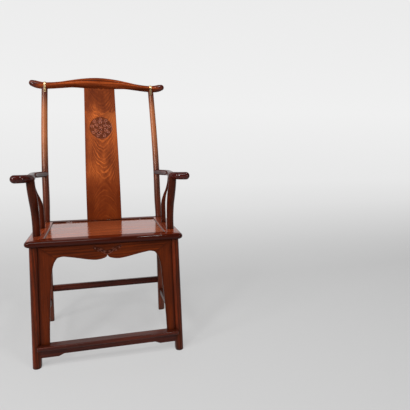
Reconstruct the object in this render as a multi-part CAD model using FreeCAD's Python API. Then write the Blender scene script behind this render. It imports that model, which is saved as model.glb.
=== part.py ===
import FreeCAD, Part
import math
import os
from FreeCAD import Vector

# A high-backed armchair whose crest rail and arms run on past the posts and end in
# rounded, turned-out tips. Sizes are in millimetres. x runs across the chair, y from the
# front (negative) to the back, z up from the floor. The right half is made, then mirrored.

# Seat frame and panel
seat_width = 606.0
seat_depth = 448.0
seat_height = 501.0
frame_thickness = 26.0
front_rail_width = 52.0
back_rail_width = 50.0
side_rail_width = 67.0
frame_corner_radius = 13.0
nose_height = 20.5
nose_round = 9.6
bead_setback = 8.0
bead_round = 2.0
panel_recess = 5.0
panel_thickness = 10.0
panel_side_gap = 0.6
panel_tongue_thickness = 5.0
panel_tongue_length = 7.0
mitre_tenon_thickness = 7.0
mitre_tenon_lift = 2.5
mitre_tenon_width = 24.0
mitre_tenon_edge = 7.0
mitre_tenon_cover = 14.0
mitre_tenon_root = 18.0
brace_width = 30.0
brace_thickness = 10.0
brace_tenon_length = 12.0
brace_tenon_thickness = 5.0
brace_tenon_width = 20.0
brace_place_share = 0.36

# Legs, round outside and square inside, splayed both ways
leg_radius = 16.5
leg_inset = 31.0
back_leg_tuck = 6.5
leg_splay_side = 10.0
leg_splay_end = 29.0
leg_corner_round = 3.0
leg_tenon_half = 7.0
leg_tenon_height = 11.0

# Back posts, each one timber with the leg under it, ending below the crest rail's middle
post_radius_low = 16.0
post_radius_high = 13.6
post_stop = 5.75
post_rake = 70.0
post_narrowing = 18.7
post_tenon_radius = 7.0
post_tenon_reach = 9.0
# height, rake and narrowing along the curve of the back
back_curve_shares = [(0.0, 0.0, 0.0), (0.13, 0.05, 0.18), (0.38, 0.285, 0.245), (0.64, 0.67, 0.42),
                     (0.89, 0.98, 0.77), (1.0, 1.0, 1.0)]

# Crest rail, running on past the posts
overall_height = 1177.5
crest_overhang = 68.2
crest_tip_length = 14.0
crest_height = 49.5
crest_thickness = 34.0
crest_drop = 18.0
crest_sweep = 10.0
crest_bow = 5.0
# distance out, drop of the middle line, height and thickness of the crest rail
crest_shares = [(0.0, 0.0, 1.0, 1.0), (0.249, 0.15, 0.89, 0.98), (0.405, 0.32, 0.707, 0.93),
                (0.581, 0.71, 0.606, 0.88), (0.734, 0.944, 0.596, 0.86), (0.831, 1.0, 0.616, 0.86),
                (0.914, 0.847, 0.667, 0.87), (0.963, 0.639, 0.657, 0.88), (1.0, 0.458, 0.574, 0.84)]
# how the rounded tips close: distance out and what is left of the thickness
dome_shares = [(0.5, 0.866), (0.85, 0.527), (0.985, 0.173)]

# Splat
splat_half_low = 81.2
splat_half_high = 70.5
splat_thickness = 12.0
splat_setback = 12.8
splat_extra_rake = 4.0
splat_tongue_thickness = 6.0
splat_tongue_length = 8.0
splat_tongue_inset = 5.0
# height and taper of the splat's sides
splat_side_shares = [(0.0, 0.0), (0.38, 0.23), (0.7, 0.63), (1.0, 1.0)]

# Arms
arm_above_seat = 224.0
arm_rise = 9.5
arm_start_in = 3.0
arm_start_forward = 2.4
arm_overhang = 17.0
arm_tip_setback = 16.0
arm_tip_length = 15.0
arm_width = 32.0
arm_thickness = 31.0
arm_tenon_radius = 5.5
arm_tenon_reach = 12.0
# distance forward, distance out, rise, width and thickness from the back post to the grip
arm_shares = [(0.0, 0.0, 0.0, 0.69, 0.84), (0.193, 0.312, 0.3, 0.74, 0.84), (0.384, 0.516, 0.62, 0.84, 0.84),
              (0.575, 0.484, 0.74, 0.87, 0.86), (0.754, 0.297, 0.84, 0.96, 0.89),
              (0.874, 0.25, 0.9, 1.03, 0.93), (0.928, 0.312, 0.95, 1.02, 0.96),
              (0.971, 0.516, 0.97, 1.0, 0.98), (1.0, 1.0, 1.0, 0.97, 1.0)]

# Arm posts standing back from the front legs
arm_post_inset = 33.7
arm_post_setback = 108.0
arm_post_swing = 3.3
arm_post_lean = 52.0
arm_post_radius_low = 14.5
arm_post_radius_high = 16.5
# height, outward swing, lean and growth
arm_post_shares = [(0.0, 0.0, 0.0, 0.0), (0.2, -0.2, 0.02, 0.0), (0.43, -0.25, 0.22, 0.4),
                   (0.65, -0.1, 0.66, 1.0), (0.83, 0.5, 0.93, 0.85), (1.0, 1.0, 1.0, 0.7)]
foot_tenon_radius = 8.0
foot_tenon_length = 14.0
arm_post_tenon_radius = 7.0

# Slender side posts
side_post_inset = 37.0
side_post_setback = 264.0
side_post_swing = 24.5
side_post_lean = 16.0
side_post_radius_low = 10.6
side_post_radius_high = 5.2
# height, outward swing, lean and taper
side_post_shares = [(0.0, 0.0, 0.0, 0.0), (0.24, -0.02, 0.0, 0.05), (0.42, 0.0, 0.05, 0.15),
                    (0.56, 0.24, 0.25, 0.6), (0.68, 0.6, 0.6, 0.9), (0.84, 0.92, 0.9, 1.0),
                    (1.0, 1.0, 1.0, 1.0)]
side_foot_tenon_radius = 7.0
side_post_tenon_radius = 3.4

# Boards under the seat
apron_thickness = 12.0
apron_forward = 9.0
apron_tongue_thickness = 5.0
apron_tongue_length = 4.0
# half width and height of the arch's edge, from the footrest up and in to the middle cusp
arch_shares = [(0.904, 0.18), (0.893, 0.32), (0.862, 0.558), (0.845, 0.663), (0.826, 0.777),
               (0.803, 0.834), (0.771, 0.874), (0.732, 0.899), (0.677, 0.908), (0.568, 0.902),
               (0.415, 0.886), (0.274, 0.8705), (0.164, 0.8646), (0.07, 0.872), (0.02, 0.883),
               (0.0, 0.899)]
arch_mitre_share = 0.74
arch_mitre_height_share = 0.896
plain_apron_depth = 36.0
plain_apron_end_depth = 74.0
# distance in from the leg and depth of a plain apron's lower edge
plain_apron_shares = [(0.0, 1.0), (0.03, 0.97), (0.055, 0.72), (0.085, 0.36), (0.125, 0.09), (0.18, 0.0)]

# Footrest and stretchers
footrest_top = 91.0
footrest_thickness = 16.0
footrest_front = 31.5
footrest_back = 8.0
footrest_past_leg = 3.0
footrest_round = 5.0
footrest_tenon_thickness = 8.0
footrest_tenon_half = 7.0
footrest_apron_drop = 27.0
footrest_apron_end_drop = 35.5
footrest_apron_share = 0.7
footrest_apron_end_share = 0.78
side_stretcher_top = 118.5
side_stretcher_height = 26.0
back_stretcher_top = 182.0
back_stretcher_height = 30.5
stretcher_thickness = 20.0
stretcher_round = 5.0
stretcher_tenon_thickness = 9.0
stretcher_tenon_height = 14.0
stretcher_tenon_length = 10.5

# Brass straps over the crest rail and down the posts
strap_inset = 1.6
strap_width = 8.4
strap_thickness = 1.0
strap_drop = 29.75
strap_gap = 0.6
strap_tail = 5.0
nail_head_radius = 1.9
nail_head_height = 1.1
nail_shank_radius = 0.7
nail_length = 9.0
nail_setback = 5.0
# the crest rail's height where the straps go over it
strap_height_share = 0.66

# Rails and posts are planed round in flats, and their curves are drawn in steps
flats = 14
post_bands = 10
crest_bands = 14
arm_bands = 13
arm_post_bands = 7
# Steps along the shaped edges of the boards
arch_steps = 22
apron_end_steps = 7

# Fits
fit_gap = 0.15
overrun = 20.0

half_width = seat_width / 2
half_depth = seat_depth / 2
frame_bottom = seat_height - frame_thickness
panel_top = seat_height - panel_recess
panel_bottom = panel_top - panel_thickness
inner_half_width = half_width - side_rail_width
inner_front = front_rail_width - half_depth
inner_back = half_depth - back_rail_width
front_leg_x = half_width - leg_inset
back_leg_x = front_leg_x - back_leg_tuck
leg_y = half_depth - leg_inset
crest_middle = overall_height - crest_height / 2
crest_y = leg_y + post_rake - crest_bow
crest_tenon_top = crest_middle - crest_drop + post_tenon_reach / 2
post_height = crest_middle - crest_drop - post_stop - seat_height
post_top_x = back_leg_x - post_narrowing
crest_half_length = post_top_x + crest_overhang
splat_rake = post_rake + splat_extra_rake
leg_reach = front_leg_x - leg_radius
arm_height = seat_height + arm_above_seat
arm_tip_x = half_width + arm_overhang
arm_tip_y = arm_tip_setback - half_depth
arm_post_x = half_width - arm_post_inset
arm_post_y = arm_post_setback - half_depth
side_post_x = half_width - side_post_inset
side_post_y = side_post_setback - half_depth
footrest_half_length = front_leg_x + footrest_past_leg
strap_x = post_top_x - strap_inset
UP = Vector(0, 0, 1)
ACROSS = Vector(1, 0, 0)
BACK = Vector(0, 1, 0)
ORIGIN = Vector(0, 0, 0)


def mirrored(shape):
    """The same piece on the left side."""
    return shape.mirror(ORIGIN, ACROSS)


def both(shape):
    """The shape and its mirror image, for cutting."""
    return shape.fuse(mirrored(shape))


def block(low, high, gap=0.0):
    """A square block between two corners, grown by a gap on every side."""
    low = low - Vector(gap, gap, gap)
    size = high + Vector(gap, gap, gap) - low
    return Part.makeBox(size.x, size.y, size.z, low)


def rod(x, y, low, high, radius):
    """An upright round pin."""
    return Part.makeCylinder(radius, high - low, Vector(x, y, low), UP)


def prism(points, push):
    """A straight-edged outline pushed along a direction."""
    return Part.Face(Part.makePolygon(points + [points[0]])).extrude(push)


def smooth(points):
    """A smooth curve through a row of points."""
    curve = Part.BSplineCurve()
    curve.interpolate(Points=points)
    return curve


def stepped(points, steps):
    """Points in even steps along a smooth curve."""
    line = smooth(points)
    first = line.FirstParameter
    return [line.value(first + (line.LastParameter - first) * step / steps) for step in range(steps + 1)]


def one_solid(shape):
    """The main solid of a finished piece."""
    solids = sorted(shape.removeSplitter().Solids, key=lambda solid: solid.Volume)
    return solids[-1]


def oval_points(centre, wide, high):
    """The corners of an oval planed in flats; wide and high are its half axes."""
    turns = [math.pi * (step * 2 + 1) / flats for step in range(flats)]
    return [centre + wide * math.cos(turn) + high * math.sin(turn) for turn in turns]


def oval(centre, wide, high):
    """An oval section, planed in flats."""
    points = oval_points(centre, wide, high)
    return Part.makePolygon(points + [points[0]])


def drawn(points, halves, bands):
    """A smooth middle line with its section sizes, read off in even steps."""
    line = smooth(points)
    marks = [line.parameter(point) for point in points]
    sizes = Part.BSplineCurve()
    sizes.interpolate(Points=[Vector(*half, mark) for half, mark in zip(halves, marks)], Parameters=marks)
    steps = [marks[0] + (marks[-1] - marks[0]) * step / bands for step in range(bands + 1)]
    return [(line.value(step), line.tangent(step)[0], sizes.value(step)) for step in steps]


def limb(points, halves, bands, first_tip=0.0, last_tip=0.0):
    """A curved member through oval sections square to its middle line, with domed tips."""
    stations = drawn(points, halves, bands)
    first = [(stations[0], -first_tip * out, left) for out, left in dome_shares if first_tip]
    last = [(stations[-1], last_tip * out, left) for out, left in dome_shares if last_tip]
    rings = []
    for (point, heading, size), out, left in first[::-1] + [(place, 0, 1) for place in stations] + last:
        level = heading.cross(UP).normalize()
        upward = level.cross(heading).normalize()
        rings.append(oval(point + heading * out, level * (size.x * left), upward * (size.y * left)))
    return Part.makeLoft(rings, True, True)


def upright(points, radii, bands):
    """A round member through level sections, so that it stands flat on what is below."""
    stations = drawn(points, [(radius, radius) for radius in radii], bands)
    return Part.makeLoft([oval(point, ACROSS * size.x, BACK * size.x) for point, heading, size in stations],
                         True, True)


# Legs

def leg_place(front, z):
    """The middle of the right leg at a height; it splays towards the floor."""
    fall = (frame_bottom - z) / frame_bottom
    y = leg_y + leg_splay_end * fall
    return Vector((front_leg_x if front else back_leg_x) + leg_splay_side * fall, -y if front else y, z)


def leg_section(inward, radius):
    """Three quarters of a circle and a softened square inner corner."""
    diagonal = math.sqrt(0.5)
    soft = leg_corner_round * (1 - diagonal)
    inner = Vector(0, inward * radius, 0)
    side = Vector(-radius, 0, 0)
    outer = Vector(diagonal * radius, -inward * diagonal * radius, 0)
    corner = Vector(-radius, inward * radius, 0)
    low_round = corner + Vector(0, -inward * leg_corner_round, 0)
    high_round = corner + Vector(leg_corner_round, 0, 0)
    middle = corner + Vector(soft, -inward * soft, 0)
    edges = [Part.Arc(inner, outer, side).toShape(), Part.makeLine(side, low_round),
             Part.Arc(low_round, middle, high_round).toShape(), Part.makeLine(high_round, inner)]
    return Part.Face(Part.Wire(edges))


def leg_body(front, radius=leg_radius):
    """A splayed leg, cut level under the seat and at the floor."""
    foot = leg_place(front, -overrun)
    along = leg_place(front, frame_bottom + overrun) - foot
    leg = leg_section(1 if front else -1, radius).extrude(UP * along.Length)
    leg.Placement = FreeCAD.Placement(foot, FreeCAD.Rotation(UP, along))
    reach = Vector(half_width, seat_depth, 0)
    return leg.common(block(-reach, reach + UP * frame_bottom))


def make_front_leg():
    """The front leg and the square tenon that holds the corner of the seat."""
    top = leg_place(True, frame_bottom)
    corner = Vector(leg_tenon_half, leg_tenon_half, 0)
    return leg_body(True).fuse(block(top - corner, top + corner + UP * leg_tenon_height))


def back_point(rise, rake, narrow):
    """A point on the middle line of the right back post."""
    return Vector(back_leg_x - post_narrowing * narrow, leg_y + post_rake * rake,
                  seat_height + post_height * rise)


def post_upper(grow=0.0):
    """The post above the seat."""
    points = [back_point(*shares) for shares in back_curve_shares]
    radii = [post_radius_low + (post_radius_high - post_radius_low) * rise + grow
             for rise, rake, narrow in back_curve_shares]
    return upright(points, radii, post_bands)


def make_back_post(crest):
    """Leg, neck through the seat corner, post and top tenon in one timber."""
    top = back_point(1.0, 1.0, 1.0)
    neck = rod(back_leg_x, leg_y, frame_bottom, seat_height, post_radius_low)
    tenon = rod(top.x, top.y, top.z - overrun * 2, crest_tenon_top, post_tenon_radius)
    return leg_body(False).fuse([neck, post_upper()]).cut(crest).fuse(tenon)


# Crest rail

def crest_body(grow=0.0):
    """The crest rail, deepest in the middle, with upturned and swept-back tips."""
    half = crest_half_length - crest_tip_length
    points = []
    halves = []
    for side in (-1, 1):
        for out, drop, high, thick in crest_shares[::side]:
            if out or side == 1:
                points.append(Vector(side * half * out, crest_y + crest_sweep * out * out,
                                     crest_middle - crest_drop * drop))
                halves.append((crest_thickness * thick / 2 + grow, crest_height * high / 2 + grow))
    return limb(points, halves, crest_bands, crest_tip_length, crest_tip_length)


# Splat

def splat_line(inset):
    """The curve of a face of the splat seen from the side."""
    height = crest_middle - seat_height
    base = leg_y - splat_setback + inset
    return smooth([Vector(0, base + splat_rake * rake, seat_height + height * rise)
                   for rise, rake, narrow in back_curve_shares])


def splat_board(inset, thickness):
    """The bent and tapered board, thinner and narrower for its tongues."""
    front = splat_line((splat_thickness - thickness) / 2)
    back = splat_line((splat_thickness + thickness) / 2)
    ends = [(line.value(line.FirstParameter), line.value(line.LastParameter)) for line in (front, back)]
    wire = Part.Wire([front.toShape(), Part.makeLine(ends[0][1], ends[1][1]),
                      back.toShape(), Part.makeLine(ends[1][0], ends[0][0])])
    bent = Part.Face(wire).extrude(ACROSS * seat_width)
    bent.translate(ACROSS * (-half_width))
    sides = []
    for side in (-1, 1):
        edge = [(splat_half_low + (splat_half_high - splat_half_low) * taper - inset,
                 seat_height + (crest_middle - seat_height) * rise) for rise, taper in splat_side_shares]
        sides.append(smooth([Vector(side * half, 0, z) for half, z in edge]))
    ends = [(line.value(line.FirstParameter), line.value(line.LastParameter)) for line in sides]
    wire = Part.Wire([sides[0].toShape(), Part.makeLine(ends[0][1], ends[1][1]),
                      sides[1].toShape(), Part.makeLine(ends[1][0], ends[0][0])])
    return bent.common(Part.Face(wire).extrude(BACK * seat_depth))


def splat_foot(gap=0.0):
    """The tongue at the splat's foot."""
    middle = leg_y - splat_setback + splat_thickness / 2
    half = splat_half_low - splat_tongue_inset
    return block(Vector(-half, middle - splat_tongue_thickness / 2, seat_height - splat_tongue_length),
                 Vector(half, middle + splat_tongue_thickness / 2, seat_height), gap)


def splat_head(gap=0.0):
    """The tongue at the splat's head, as high as it reaches into the crest rail."""
    top = crest_middle - crest_height / 2 + splat_tongue_length + gap
    tongue = splat_board(splat_tongue_inset - gap, splat_tongue_thickness + gap * 2)
    low = Vector(-half_width, 0, top - splat_tongue_length * 2)
    return tongue.common(block(low, Vector(half_width, seat_depth, top)))


# Arms and their posts

def arm_start():
    """Where the arm's middle line starts, inside the back post."""
    share = (arm_height - seat_height) / post_height
    pairs = list(zip(back_curve_shares, back_curve_shares[1:]))
    below, above = [pair for pair in pairs if pair[0][0] <= share][-1]
    along = (share - below[0]) / (above[0] - below[0])
    middle = back_point(*[low + (high - low) * along for low, high in zip(below, above)])
    return middle - Vector(arm_start_in, arm_start_forward, 0)


def arm_point(forward, out, rise):
    """A point on the middle line of the right arm."""
    start = arm_start()
    return Vector(start.x + (arm_tip_x - start.x) * out, start.y + (arm_tip_y - start.y) * forward,
                  arm_height + arm_rise * rise)


def arm_body():
    """The arm, bowed outwards and ending in a turned-out grip."""
    points = [arm_point(forward, out, rise) for forward, out, rise, wide, thick in arm_shares]
    halves = [(arm_width * wide / 2, arm_thickness * thick / 2)
              for forward, out, rise, wide, thick in arm_shares]
    return limb(points, halves, arm_bands, 0, arm_tip_length)


def arm_tenon(gap=0.0):
    """The round tenon at the arm's back end."""
    start = arm_point(*arm_shares[0][:3])
    heading = (arm_point(*arm_shares[1][:3]) - start).normalize()
    inner = start + heading * (post_radius_low - arm_tenon_reach - gap)
    return Part.makeCylinder(arm_tenon_radius + gap, overrun + gap, inner, heading)


def arm_post_line():
    """The middle line and radii of the arm post."""
    height = arm_height + arm_rise - seat_height
    points = [Vector(arm_post_x + arm_post_swing * swing, arm_post_y - arm_post_lean * lean,
                     seat_height + height * rise) for rise, swing, lean, growth in arm_post_shares]
    radii = [arm_post_radius_low + (arm_post_radius_high - arm_post_radius_low) * growth
             for rise, swing, lean, growth in arm_post_shares]
    return points, radii


def side_post_line():
    """The middle line and radii of the slender side post."""
    height = arm_height + arm_rise / 2 - seat_height
    points = [Vector(side_post_x + side_post_swing * swing, side_post_y - side_post_lean * lean,
                     seat_height + height * rise) for rise, swing, lean, taper in side_post_shares]
    radii = [side_post_radius_low + (side_post_radius_high - side_post_radius_low) * taper
             for rise, swing, lean, taper in side_post_shares]
    return points, radii


def end_pins(line, low_radius, high_radius, gap=0.0):
    """The round tenons at the foot and the head of a post under the arm."""
    points, radii = line
    foot = points[0]
    head = points[-1]
    low = rod(foot.x, foot.y, foot.z - foot_tenon_length - gap, foot.z, low_radius + gap)
    high = rod(head.x, head.y, head.z - overrun, head.z + gap, high_radius + gap)
    return [low, high]


def make_standing(line, low_radius, high_radius, arm):
    """A post between the seat and the arm, its head shaped to the arm's underside."""
    return upright(*line, arm_post_bands).cut(arm).fuse(end_pins(line, low_radius, high_radius))


# Seat

def rounded_slab(inset, low, high, radius):
    """A slab as wide as the seat less an inset, its four sides rounded over, with rounded corners."""
    corner = Vector(half_width - inset, half_depth - inset, 0)
    slab = block(-corner + UP * low, corner + UP * high)
    posts = [edge for edge in slab.Edges if edge.BoundBox.ZLength > fit_gap]
    slab = slab.makeFillet(frame_corner_radius - inset, posts)
    for along in (ACROSS, BACK):
        far = corner + along * overrun
        bar = block(-far + UP * low, far + UP * high)
        long_edges = [edge for edge in bar.Edges if edge.Length > corner.dot(along)]
        slab = slab.common(bar.makeFillet(radius, long_edges))
    return slab


def frame_blank():
    """The whole moulded seat frame before it is divided at the mitres."""
    split = seat_height - nose_height
    nose = rounded_slab(0, split, seat_height, nose_round)
    bead = rounded_slab(bead_setback, frame_bottom, split, bead_round)
    opening = block(Vector(-inner_half_width, inner_front, frame_bottom - overrun),
                    Vector(inner_half_width, inner_back, seat_height + overrun))
    deep = panel_tongue_length
    groove_low = Vector(-inner_half_width - deep, inner_front - deep, panel_bottom)
    groove_high = Vector(inner_half_width + deep, inner_back + deep,
                         panel_bottom + panel_tongue_thickness + fit_gap)
    return nose.fuse(bead).cut([opening, block(groove_low, groove_high)])


def mitre_zone(front):
    """The part of the seat frame that belongs to the front or the back rail."""
    inner_y = inner_front if front else inner_back
    outer_y = -half_depth if front else half_depth
    inner = Vector(inner_half_width, inner_y, frame_bottom - overrun)
    outer = Vector(half_width, outer_y, frame_bottom - overrun)
    far = outer + (outer - inner)
    left = [Vector(-point.x, point.y, point.z) for point in (far, inner)]
    return prism([inner, far] + left, UP * (frame_thickness + overrun * 2))


def mitre_tenon(front, gap=0.0):
    """The flat tenon of a side rail that crosses the mitre into the front or back rail."""
    way = -1 if front else 1
    inner_y = inner_front if front else inner_back
    outer_y = way * (half_depth - mitre_tenon_cover)
    x = inner_half_width + mitre_tenon_edge
    low_z = frame_bottom + mitre_tenon_lift
    ys = sorted([inner_y - way * mitre_tenon_root, outer_y])
    return block(Vector(x, ys[0], low_z),
                 Vector(x + mitre_tenon_width, ys[1], low_z + mitre_tenon_thickness), gap)


def make_panel():
    """The floating panel, tongued into the frame a little below its top."""
    top_corner = Vector(inner_half_width - panel_side_gap, 0, 0)
    body = block(Vector(-top_corner.x, inner_front + panel_side_gap, panel_bottom),
                 Vector(top_corner.x, inner_back - panel_side_gap, panel_top))
    reach = panel_tongue_length - panel_side_gap
    tongue = block(Vector(-inner_half_width - reach, inner_front - reach, panel_bottom),
                   Vector(inner_half_width + reach, inner_back + reach,
                          panel_bottom + panel_tongue_thickness))
    return body.fuse(tongue)


def brace_tenons(gap=0.0):
    """The tenons at both ends of the right brace, as one bar."""
    x = inner_half_width * brace_place_share
    middle = panel_bottom - brace_thickness / 2
    half = Vector(brace_tenon_width / 2, 0, brace_tenon_thickness / 2)
    low = Vector(x, inner_front - brace_tenon_length, middle) - half
    return block(low, Vector(x, inner_back + brace_tenon_length, middle) + half, gap)


def make_brace():
    """A brace under the panel, running from front to back."""
    x = inner_half_width * brace_place_share
    body = block(Vector(x - brace_width / 2, inner_front, panel_bottom - brace_thickness),
                 Vector(x + brace_width / 2, inner_back, panel_bottom))
    return body.fuse(brace_tenons())


# Boards between the legs

def front_place(x, z, inset=0.0):
    """A point on the front boards' face, which leans with the front legs."""
    return Vector(x, leg_place(True, z).y - apron_forward + inset, z)


def back_place(x, z):
    """A point on the back board's face."""
    return Vector(x, leg_place(False, z).y + apron_forward, z)


def side_place(y, z):
    """A point on a right side board's face, which runs from front leg to back leg."""
    front = leg_place(True, z).x
    back = leg_place(False, z).x
    return Vector((front + back) / 2 + (back - front) / 2 * y / leg_y + apron_forward, y, z)


def between(shape):
    """What stands above the footrest and under the seat."""
    low = Vector(-half_width, -seat_depth, footrest_top)
    return shape.common(block(low, Vector(half_width, seat_depth, frame_bottom)))


def board(place, outline, inward, inset, thickness):
    """A leaning board of an outline, cut level at its top and foot."""
    face = Part.Face(Part.makePolygon(outline + [outline[0]]))
    middle = place(0, 0)
    push = (place(half_width, 0) - middle).cross(place(0, frame_bottom) - middle).normalize()
    if push.dot(inward) < 0:
        push = -push
    face.translate(push * inset)
    return between(face.extrude(push * thickness))


def arch_sheet(inset, thickness):
    """All three front boards in one sheet, arched from foot to foot over the middle cusp."""
    points = stepped([front_place(leg_reach * wide, frame_bottom * high) for wide, high in arch_shares],
                     arch_steps)
    arch = points + [Vector(-point.x, point.y, point.z) for point in points[-2::-1]]
    out = front_leg_x + leg_splay_side
    top = frame_bottom + overrun
    foot = points[0].z
    corners = [front_place(-out, foot), front_place(-out, top), front_place(out, top), front_place(out, foot)]
    return board(front_place, arch + corners, BACK, inset, thickness)


def apron_zone():
    """The part of the front sheet that belongs to the apron, above its mitres."""
    inner = Vector(leg_reach * arch_mitre_share, -seat_depth, frame_bottom * arch_mitre_height_share)
    outer = Vector(leg_reach, -seat_depth, frame_bottom)
    far = outer + (outer - inner)
    right = [Vector(inner.x, -seat_depth, 0), inner, far]
    left = [Vector(-point.x, point.y, point.z) for point in right]
    return prism(right + left[::-1], BACK * seat_depth)


def plain_board(place, half_span, inward, inset, thickness):
    """A board with a straight lower edge and shaped ends, for the sides and the back."""
    clear = half_span - leg_radius
    deepening = plain_apron_end_depth - plain_apron_depth
    edge = stepped([Vector(clear * (1 - share), frame_bottom - plain_apron_depth - deepening * depth, 0)
                    for share, depth in plain_apron_shares], apron_end_steps)
    out = half_span + apron_tongue_length
    top = frame_bottom + overrun
    right = [(out, top), (out, edge[0].y)] + [(point.x, point.y) for point in edge]
    outline = [place(across, z) for across, z in right] + [place(-across, z) for across, z in right[::-1]]
    return board(place, outline, inward, inset, thickness)


def side_board(inset, thickness):
    return plain_board(side_place, leg_y, -ACROSS, inset, thickness)


def back_board(inset, thickness):
    return plain_board(back_place, back_leg_x, -BACK, inset, thickness)


def footrest_board(inset, thickness):
    """The apron under the footrest, a little deeper at its ends."""
    top = footrest_top - footrest_thickness
    low = top - footrest_apron_drop
    end = top - footrest_apron_end_drop
    out = leg_place(True, top).x
    right = [(leg_reach * footrest_apron_share, low), (leg_reach * footrest_apron_end_share, end),
             (out, end), (out, top)]
    outline = right + [(-x, z) for x, z in right[::-1]]
    return prism([front_place(x, z, inset) for x, z in outline], BACK * thickness)


def housed(board, tongue, legs, cores):
    """A board cut to the legs' round faces, with tongues a little way into them."""
    return board.cut(legs).fuse(tongue.common(legs).cut(cores))


# Footrest and stretchers

def make_footrest_body():
    """The flat footrest, its front edge rounded, standing proud of the legs."""
    middle = leg_place(True, footrest_top - footrest_thickness / 2).y
    low = Vector(-footrest_half_length, middle - footrest_front, footrest_top - footrest_thickness)
    body = block(low, Vector(footrest_half_length, middle + footrest_back, footrest_top))
    front = [edge for edge in body.Edges if edge.BoundBox.YMax < low.y + fit_gap]
    return body.makeFillet(footrest_round, front)


def footrest_tenon(gap=0.0):
    z = footrest_top - footrest_thickness / 2
    end = leg_place(True, z)
    half = Vector(0, footrest_tenon_half, footrest_tenon_thickness / 2)
    return block(Vector(-end.x, end.y, z) - half, end + half, gap)


def stretcher_bar(start, end, thickness, height, gap=0.0):
    """A level bar between the middles of two legs."""
    sideways = (end - start).cross(UP).normalize() * (thickness / 2 + gap)
    low = -UP * (height / 2 + gap)
    points = [start - sideways + low, start + sideways + low, end + sideways + low, end - sideways + low]
    return prism(points, UP * (height + gap * 2))


def rounded_bar(start, end, height):
    """A stretcher with its long edges rounded."""
    bar = stretcher_bar(start, end, stretcher_thickness, height)
    long_edges = [edge for edge in bar.Edges if edge.Length > (end - start).Length / 2]
    return bar.makeFillet(stretcher_round, long_edges)


def side_stretcher_ends():
    z = side_stretcher_top - side_stretcher_height / 2
    return leg_place(True, z), leg_place(False, z)


def back_stretcher_ends():
    right = leg_place(False, back_stretcher_top - back_stretcher_height / 2)
    return Vector(-right.x, right.y, right.z), right


def stretcher_tenon(ends, gap=0.0):
    return stretcher_bar(*ends, stretcher_tenon_thickness, stretcher_tenon_height, gap)


# Brass

def strap_centre():
    """The middle of the crest rail's section under a strap."""
    out = strap_x / (crest_half_length - crest_tip_length)
    return Vector(strap_x, crest_y + crest_sweep * out * out, crest_middle - crest_drop)


def strap_half():
    """Half the strap's inner width, so that its front end lies on the post."""
    return strap_centre().y - (leg_y + post_rake - post_radius_high) + strap_gap


def make_strap():
    """A brass strap over the crest rail, its front end lapping down the post."""
    centre = strap_centre() - ACROSS * (strap_width / 2)
    rise = crest_height * strap_height_share / 2 + strap_gap
    rows = []
    for grow in (0, strap_thickness):
        half = strap_half() + grow
        arch = [point for point in oval_points(centre, BACK * half, UP * (rise + grow)) if point.z > centre.z]
        front = centre - BACK * half
        back = centre + BACK * half
        rows.append([back - UP * strap_tail] + arch + [front - UP * strap_drop])
    return prism(rows[0] + rows[1][::-1], ACROSS * strap_width)


def make_nail(front):
    """A small nail through an end of the strap, into the post in front or the rail behind."""
    way = BACK if front else -BACK
    drop = strap_drop - nail_setback if front else strap_tail / 2
    head = strap_centre() - way * (strap_half() + strap_thickness) - UP * drop
    shank = prism(oval_points(head, ACROSS * nail_shank_radius, UP * nail_shank_radius), way * nail_length)
    disc = oval_points(head, ACROSS * nail_head_radius, UP * nail_head_radius)
    return shank.fuse(prism(disc, -way * nail_head_height))


# Putting the chair together

def seat_pieces(pins):
    """The four mitred rails of the seat, with their tenons and sockets."""
    blank = frame_blank()
    zones = [mitre_zone(True), mitre_zone(False)]
    rails = {"seat_front_rail": blank.common(zones[0]), "seat_back_rail": blank.common(zones[1])}
    right_half = block(Vector(0, -seat_depth, 0), Vector(seat_width, seat_depth, overall_height))
    side = blank.cut(zones).common(right_half)
    tenons = [mitre_tenon(front, fit_gap) for front in (True, False)]
    side = side.fuse([mitre_tenon(True), mitre_tenon(False)])
    leg_top = leg_place(True, frame_bottom)
    corner = Vector(leg_tenon_half, leg_tenon_half, 0)
    sockets = [block(leg_top - corner, leg_top + corner + UP * leg_tenon_height, fit_gap),
               rod(back_leg_x, leg_y, frame_bottom - overrun, seat_height + overrun,
                   post_radius_low + fit_gap)]
    sockets += pins
    rails["seat_front_rail"] = rails["seat_front_rail"].cut(
        [both(tenons[0]), both(sockets[0]), both(brace_tenons(fit_gap))])
    rails["seat_back_rail"] = rails["seat_back_rail"].cut(
        [both(tenons[1]), both(sockets[1]), both(brace_tenons(fit_gap)), splat_foot(fit_gap)])
    rails["seat_right_rail"] = side.cut(sockets)
    rails["seat_left_rail"] = mirrored(rails["seat_right_rail"])
    return rails


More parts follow.
